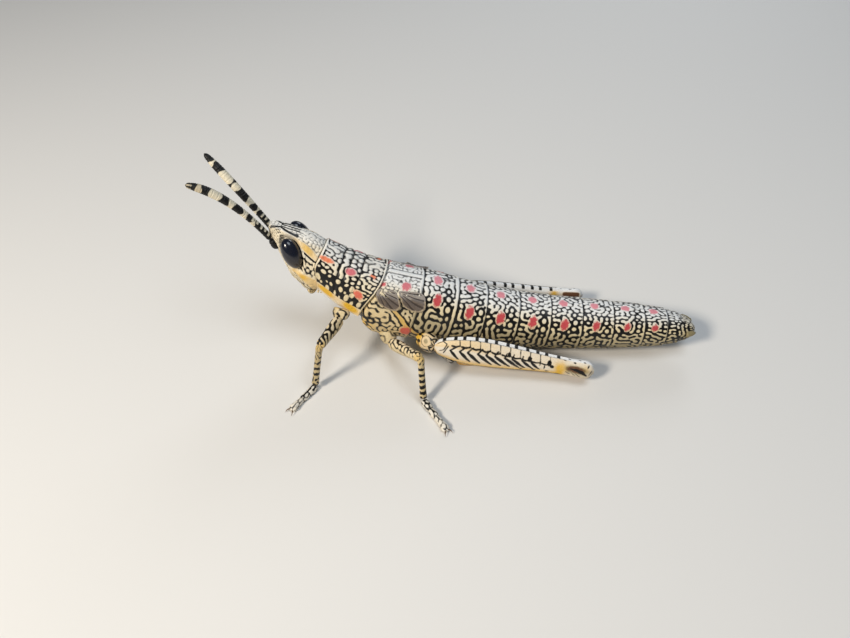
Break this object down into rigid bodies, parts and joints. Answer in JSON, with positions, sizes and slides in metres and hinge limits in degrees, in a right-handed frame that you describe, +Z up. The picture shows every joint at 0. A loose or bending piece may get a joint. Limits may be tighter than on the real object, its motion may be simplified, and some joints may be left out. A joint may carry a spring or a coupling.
{
  "type": "painted grasshopper nymph",
  "caption": "Life-size still model of a spotted grasshopper nymph, cream with black network markings and red spots, standing with banded feelers raised.",
  "frame": {"origin": "centre of the bounding box in plan, on the floor the feet stand on", "axes": "+Z up, the head looks along -X, the animal's left side faces -Y"},
  "size_m": [0.0388, 0.0171, 0.0157],
  "materials": {
    "body_skin": "smooth insect cuticle, cream with a black network, satin",
    "pronotum_skin": "finely wrinkled shield plate, cream above and black with cream spots at the side",
    "pad_skin": "ribbed grey-brown wing pads with a pale rim",
    "leg_skin": "cream cuticle with black rings and chevrons",
    "hind_tibia_skin": "amber cuticle, satin",
    "antenna_skin": "black with cream bands, satin",
    "eye_skin": "glossy blue-black compound eye"
  },
  "bodies": {
    "root": {"abdomen_1": "body_skin", "abdomen_2": "body_skin", "abdomen_3": "body_skin", "abdomen_4": "body_skin", "abdomen_5": "body_skin", "abdomen_6": "body_skin", "abdomen_7": "body_skin", "abdomen_8": "body_skin", "abdomen_9": "body_skin", "abdomen_tip": "body_skin", "antenna_L": "antenna_skin", "antenna_R": "antenna_skin", "cercus_L": "body_skin", "cercus_R": "body_skin", "eye_L": "eye_skin", "eye_R": "eye_skin", "fore_coxa_L": "leg_skin", "fore_coxa_R": "leg_skin", "fore_femur_L": "leg_skin", "fore_femur_R": "leg_skin", "fore_pad_L": "pad_skin", "fore_pad_R": "pad_skin", "fore_tarsus_L": "leg_skin", "fore_tarsus_R": "leg_skin", "fore_tibia_L": "leg_skin", "fore_tibia_R": "leg_skin", "head": "body_skin", "hind_coxa_L": "leg_skin", "hind_coxa_R": "leg_skin", "hind_femur_L": "leg_skin", "hind_femur_R": "leg_skin", "hind_pad_L": "pad_skin", "hind_pad_R": "pad_skin", "hind_tarsus_L": "leg_skin", "hind_tarsus_R": "leg_skin", "hind_tibia_L": "hind_tibia_skin", "hind_tibia_R": "hind_tibia_skin", "labrum": "body_skin", "mesothorax": "body_skin", "metathorax": "body_skin", "mid_coxa_L": "leg_skin", "mid_coxa_R": "leg_skin", "mid_femur_L": "leg_skin", "mid_femur_R": "leg_skin", "mid_tarsus_L": "leg_skin", "mid_tarsus_R": "leg_skin", "mid_tibia_L": "leg_skin", "mid_tibia_R": "leg_skin", "pronotum": "pronotum_skin", "prothorax": "body_skin", "scape_L": "antenna_skin", "scape_R": "antenna_skin"}
  },
  "joints": []
}
